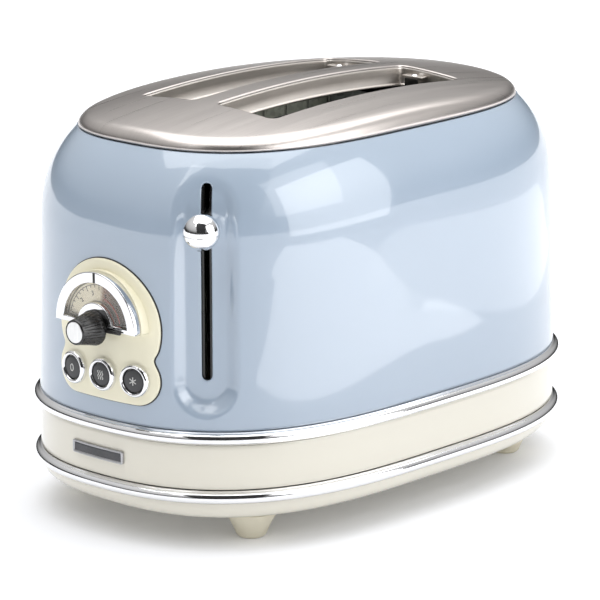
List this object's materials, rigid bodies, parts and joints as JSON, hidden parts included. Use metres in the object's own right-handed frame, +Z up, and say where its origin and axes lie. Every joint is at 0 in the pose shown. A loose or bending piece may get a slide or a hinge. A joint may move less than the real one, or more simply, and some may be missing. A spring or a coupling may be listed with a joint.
{
  "type": "pop up toaster",
  "caption": "Retro pop-up toaster with rounded casing, long bread slots, side-corner lever, browning dial, push buttons and a slide-out crumb tray",
  "frame": {"origin": "middle of the overall box, at the level the feet stand on", "axes": "+Z up, the long side along Y, the end with the dial and buttons faces -Y"},
  "size_m": [0.2012, 0.3226, 0.2108],
  "materials": {
    "body_paint": "gloss pale blue enamel on pressed steel",
    "cream_paint": "gloss cream enamel",
    "cream_plastic": "moulded cream plastic, satin gloss",
    "trim_chrome": "bright chrome plate",
    "plate_steel": "brushed stainless steel, grain along the slots",
    "sheet_steel": "galvanised sheet and wire",
    "black_plastic": "black phenolic plastic",
    "grey_plastic": "dark grey plastic",
    "pewter": "dull pewter-coloured die casting",
    "silver_cap": "satin aluminium disc",
    "scale_print": "printed dial scale in cream and brown",
    "clear_window": "clear dial window",
    "mica": "mica sheet wound with ribbon wire",
    "board": "green circuit board",
    "copper": "copper winding and steel core"
  },
  "bodies": {
    "casing": {"body_shell": "body_paint", "top_plate": "plate_steel", "trim_band": "cream_paint", "base_pan": "cream_paint", "lower_trim_ring": "trim_chrome", "upper_trim_ring": "trim_chrome", "foot_front_left": "cream_plastic", "foot_rear_left": "cream_plastic", "foot_front_right": "cream_plastic", "foot_rear_right": "cream_plastic", "base_screw_front_left": "sheet_steel", "base_screw_rear_left": "sheet_steel", "base_screw_front_right": "sheet_steel", "base_screw_rear_right": "sheet_steel", "badge_plate": "pewter", "control_panel": "cream_plastic", "dial_bezel": "trim_chrome", "dial_scale": "scale_print", "dial_window": "clear_window", "bezel_stop": "trim_chrome", "bezel_reheat": "trim_chrome", "bezel_defrost": "trim_chrome", "guide_rod": "trim_chrome", "rod_bracket": "sheet_steel", "return_spring": "sheet_steel", "chassis_base": "sheet_steel", "chamber_front_plate": "sheet_steel", "chamber_rear_plate": "sheet_steel", "reflector_left": "plate_steel", "reflector_right": "plate_steel", "heating_element_left": "mica", "heating_element_centre": "mica", "heating_element_right": "mica", "latch_magnet": "copper", "control_board": "board", "potentiometer": "grey_plastic", "cord_inlet": "black_plastic"},
    "bread_carriage": {"carriage": "sheet_steel", "latch_keeper": "sheet_steel", "lever_knob": "trim_chrome", "bread_lifter_left": "sheet_steel", "bread_lifter_right": "sheet_steel"},
    "guide_left_inner": {"bread_guide_left_inner": "sheet_steel"},
    "guide_left_outer": {"bread_guide_left_outer": "sheet_steel"},
    "guide_right_inner": {"bread_guide_right_inner": "sheet_steel"},
    "guide_right_outer": {"bread_guide_right_outer": "sheet_steel"},
    "browning_dial": {"browning_knob": "black_plastic", "knob_cap": "silver_cap"},
    "stop_button": {"button_stop": "grey_plastic"},
    "reheat_button": {"button_reheat": "grey_plastic"},
    "defrost_button": {"button_defrost": "grey_plastic"},
    "crumb_drawer": {"crumb_tray": "cream_paint"}
  },
  "joints": [
    {"name": "lever_lift", "type": "slide", "parent": "casing", "child": "bread_carriage", "axis": [0, 0, 1], "range_m": [-0.071, 0.014], "stiffness_N_per_m": 90, "springref_m": 0.0085, "deforming": ["return_spring"]},
    {"name": "guide_left_inner_close", "type": "slide", "parent": "casing", "child": "guide_left_inner", "axis": [-1, 0, 0], "range_m": [-0.0016, 0.0072]},
    {"name": "guide_left_outer_close", "type": "slide", "parent": "casing", "child": "guide_left_outer", "axis": [1, 0, 0], "range_m": [-0.0016, 0.0072]},
    {"name": "guide_right_inner_close", "type": "slide", "parent": "casing", "child": "guide_right_inner", "axis": [1, 0, 0], "range_m": [-0.0016, 0.0072]},
    {"name": "guide_right_outer_close", "type": "slide", "parent": "casing", "child": "guide_right_outer", "axis": [-1, 0, 0], "range_m": [-0.0016, 0.0072]},
    {"name": "dial_turn", "type": "hinge", "parent": "casing", "child": "browning_dial", "pos_m": [0.0049, -0.15145, 0.1092], "axis": [0, -1, 0], "range_deg": [0, 180]},
    {"name": "stop_press", "type": "slide", "parent": "casing", "child": "stop_button", "axis": [0.0925, 0.9957, 0], "range_m": [0, 0.002], "stiffness_N_per_m": 400},
    {"name": "reheat_press", "type": "slide", "parent": "casing", "child": "reheat_button", "axis": [-0.0184, 0.9998, 0], "range_m": [0, 0.002], "stiffness_N_per_m": 400},
    {"name": "defrost_press", "type": "slide", "parent": "casing", "child": "defrost_button", "axis": [-0.1848, 0.9828, 0], "range_m": [0, 0.002], "stiffness_N_per_m": 400},
    {"name": "crumb_tray_pull", "type": "slide", "parent": "casing", "child": "crumb_drawer", "axis": [0, 1, 0], "range_m": [0, 0.2]}
  ],
  "couplings": [
    {"joint": "guide_left_inner_close", "follows": "lever_lift", "ratio": -0.1},
    {"joint": "guide_left_outer_close", "follows": "lever_lift", "ratio": -0.1},
    {"joint": "guide_right_inner_close", "follows": "lever_lift", "ratio": -0.1},
    {"joint": "guide_right_outer_close", "follows": "lever_lift", "ratio": -0.1}
  ]
}
